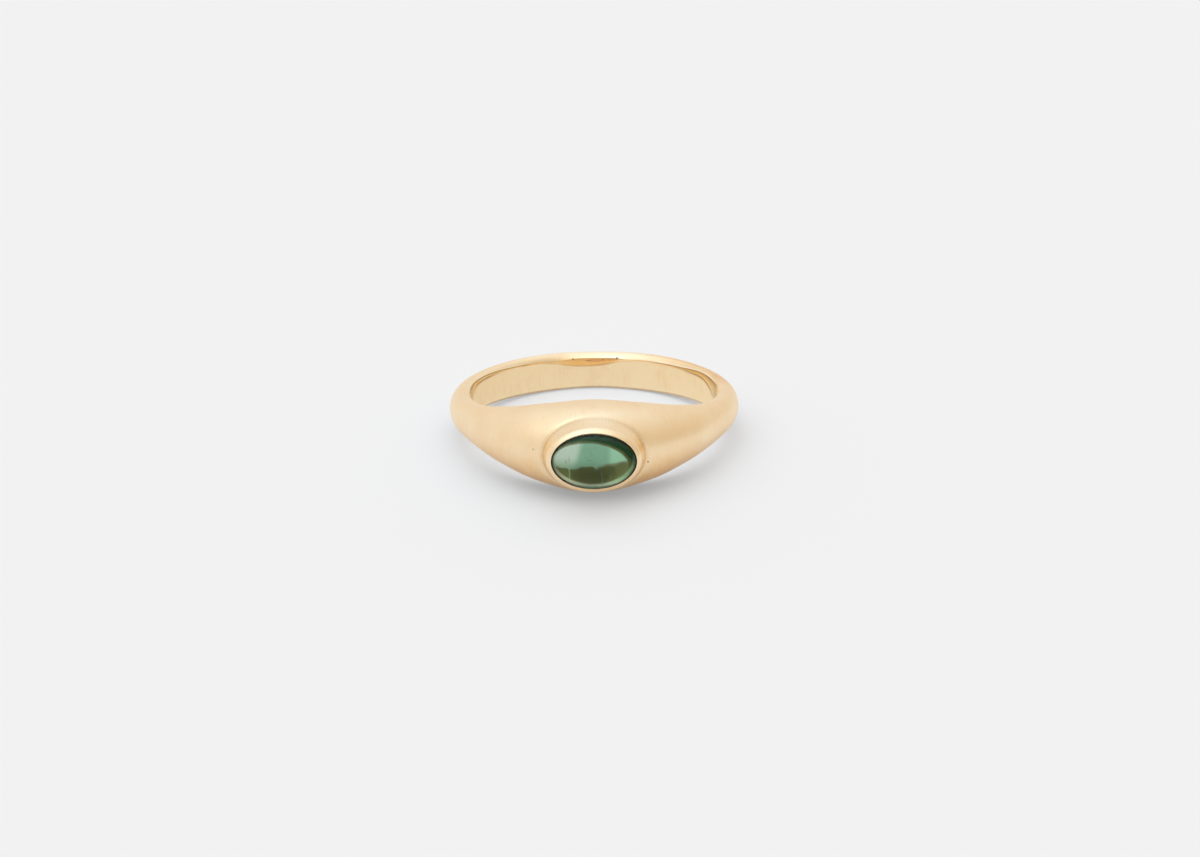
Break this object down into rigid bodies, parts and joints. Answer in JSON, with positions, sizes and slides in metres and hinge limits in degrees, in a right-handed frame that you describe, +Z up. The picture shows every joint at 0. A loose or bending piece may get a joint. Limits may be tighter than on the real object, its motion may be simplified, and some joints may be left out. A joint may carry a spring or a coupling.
{
  "type": "tourmaline ring",
  "caption": "Finger ring with a domed head that tapers into a narrow shank, and an oval cabochon in a raised bezel, lying on its side.",
  "frame": {"origin": "on the surface the ring lies on, at the middle of the whole ring's box in X and Y", "axes": "+Z up from that surface, -Y from the middle towards the stone, +X across the finger hole"},
  "size_m": [0.0202, 0.024, 0.0062],
  "materials": {
    "gold": "satin yellow gold outside, polished inside the finger hole and on the bezel's lip",
    "gemstone": "polished transparent green cabochon"
  },
  "bodies": {
    "root": {"band": "gold", "tourmaline": "gemstone"}
  },
  "joints": []
}
